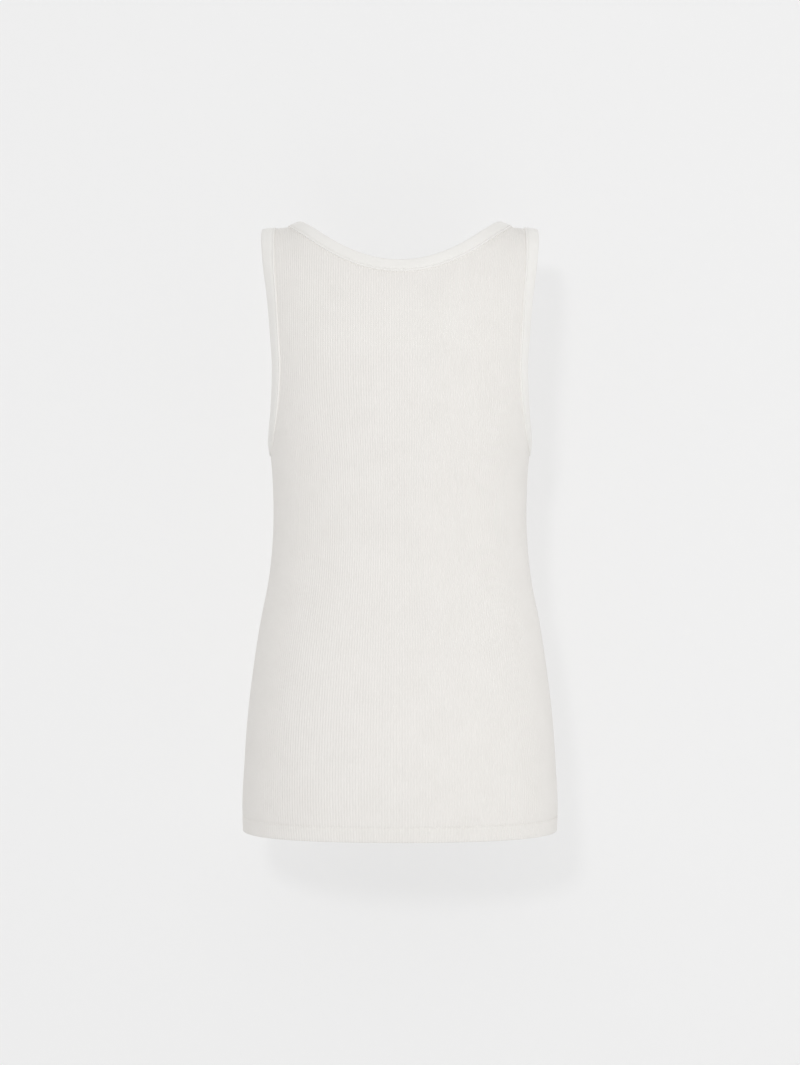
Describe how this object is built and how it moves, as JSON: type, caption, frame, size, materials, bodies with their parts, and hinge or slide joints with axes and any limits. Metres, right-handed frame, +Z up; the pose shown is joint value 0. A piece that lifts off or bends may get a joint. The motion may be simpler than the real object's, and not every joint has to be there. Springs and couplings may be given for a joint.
{
  "type": "ribbed tank top",
  "caption": "Sleeveless scoop-neck top in fine rib cloth, keeping the hollow form of a worn garment, with bound neck and armholes.",
  "frame": {"origin": "midway between the two shoulder straps, level with their tops beside the neck, where the wearer holds the garment up", "axes": "+Z up towards the neck, the front faces -Y, the wearer's left side is +X"},
  "size_m": [0.3236, 0.2346, 0.6261],
  "materials": {
    "rib_cloth": "matt off-white cotton, fine vertical rib",
    "binding_cloth": "matt off-white cotton, pressed flat"
  },
  "bodies": {
    "root": {"front_panel": "rib_cloth", "back_panel": "rib_cloth", "neck_binding": "binding_cloth", "left_armhole_binding": "binding_cloth", "right_armhole_binding": "binding_cloth"}
  },
  "joints": []
}
